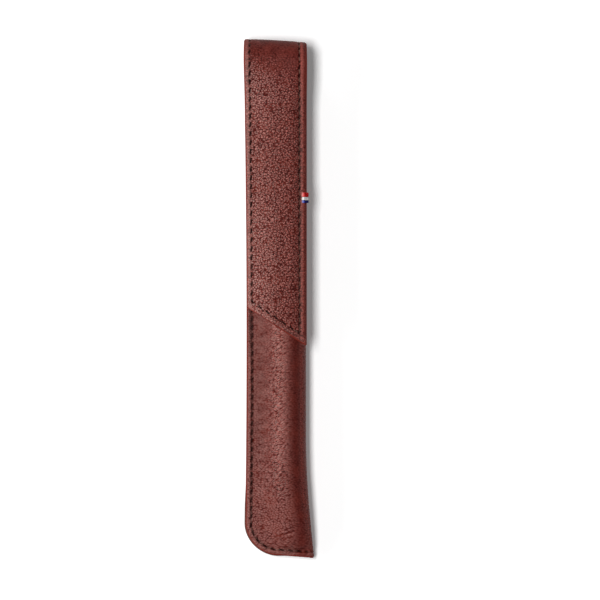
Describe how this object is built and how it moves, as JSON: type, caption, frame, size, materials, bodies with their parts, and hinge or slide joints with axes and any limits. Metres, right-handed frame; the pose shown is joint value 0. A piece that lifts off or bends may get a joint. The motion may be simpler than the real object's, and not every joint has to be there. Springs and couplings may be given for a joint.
{
  "type": "stylus sleeve",
  "caption": "Slim leather sleeve for a pen-sized stylus, a folded pocket stitched at the side and bottom, closed by a long flap with a slanted end.",
  "frame": {"origin": "middle of the bounding box, on the table that the sleeve's back lies on", "axes": "+Y from the bottom edge to the top fold, +Z out of the front, +X to the right seen from the front"},
  "size_m": [0.0238, 0.1784, 0.0155],
  "materials": {
    "leather": "semi-gloss pebbled, red-brown",
    "lining": "matt suede-like microfibre",
    "thread": "matt twisted polyester",
    "keeper": "plain",
    "magnet": "nickel plated",
    "board": "raw fibreboard",
    "ribbon": "woven ribbon in three stripes, red, white and blue"
  },
  "bodies": {
    "pocket": {"body_leather": "leather", "body_lining": "lining", "keeper_plate": "keeper", "seam_front_thread": "thread", "seam_back_thread": "thread", "back_edge_thread": "thread"},
    "fold_lower": {"fold_leather_lower": "leather", "fold_lining_lower": "lining", "fold_thread_lower": "thread"},
    "fold_middle": {"fold_leather_middle": "leather", "fold_lining_middle": "lining", "fold_thread_middle": "thread"},
    "fold_upper": {"fold_leather_upper": "leather", "fold_lining_upper": "lining", "fold_thread_upper": "thread"},
    "flap": {"flap_leather": "leather", "flap_lining": "lining", "flap_stiffener": "board", "flap_magnet": "magnet", "flap_front_thread": "thread", "flap_back_thread": "thread", "ribbon_tab": "ribbon"}
  },
  "joints": [
    {"name": "flap_open", "type": "hinge", "parent": "pocket", "child": "fold_lower", "pos_m": [0, 0.0847, 0.00056], "axis": [-1, 0, 0], "range_deg": [0, 45]},
    {"name": "fold_bend_1", "type": "hinge", "parent": "fold_lower", "child": "fold_middle", "pos_m": [0, 0.08869, 0.00455], "axis": [-1, 0, 0], "range_deg": [0, 45]},
    {"name": "fold_bend_2", "type": "hinge", "parent": "fold_middle", "child": "fold_upper", "pos_m": [0, 0.08869, 0.0102], "axis": [-1, 0, 0], "range_deg": [0, 45]},
    {"name": "fold_bend_3", "type": "hinge", "parent": "fold_upper", "child": "flap", "pos_m": [0, 0.0847, 0.01419], "axis": [-1, 0, 0], "range_deg": [0, 45]}
  ],
  "couplings": [
    {"joint": "fold_bend_1", "follows": "flap_open", "ratio": 1},
    {"joint": "fold_bend_2", "follows": "flap_open", "ratio": 1},
    {"joint": "fold_bend_3", "follows": "flap_open", "ratio": 1}
  ]
}
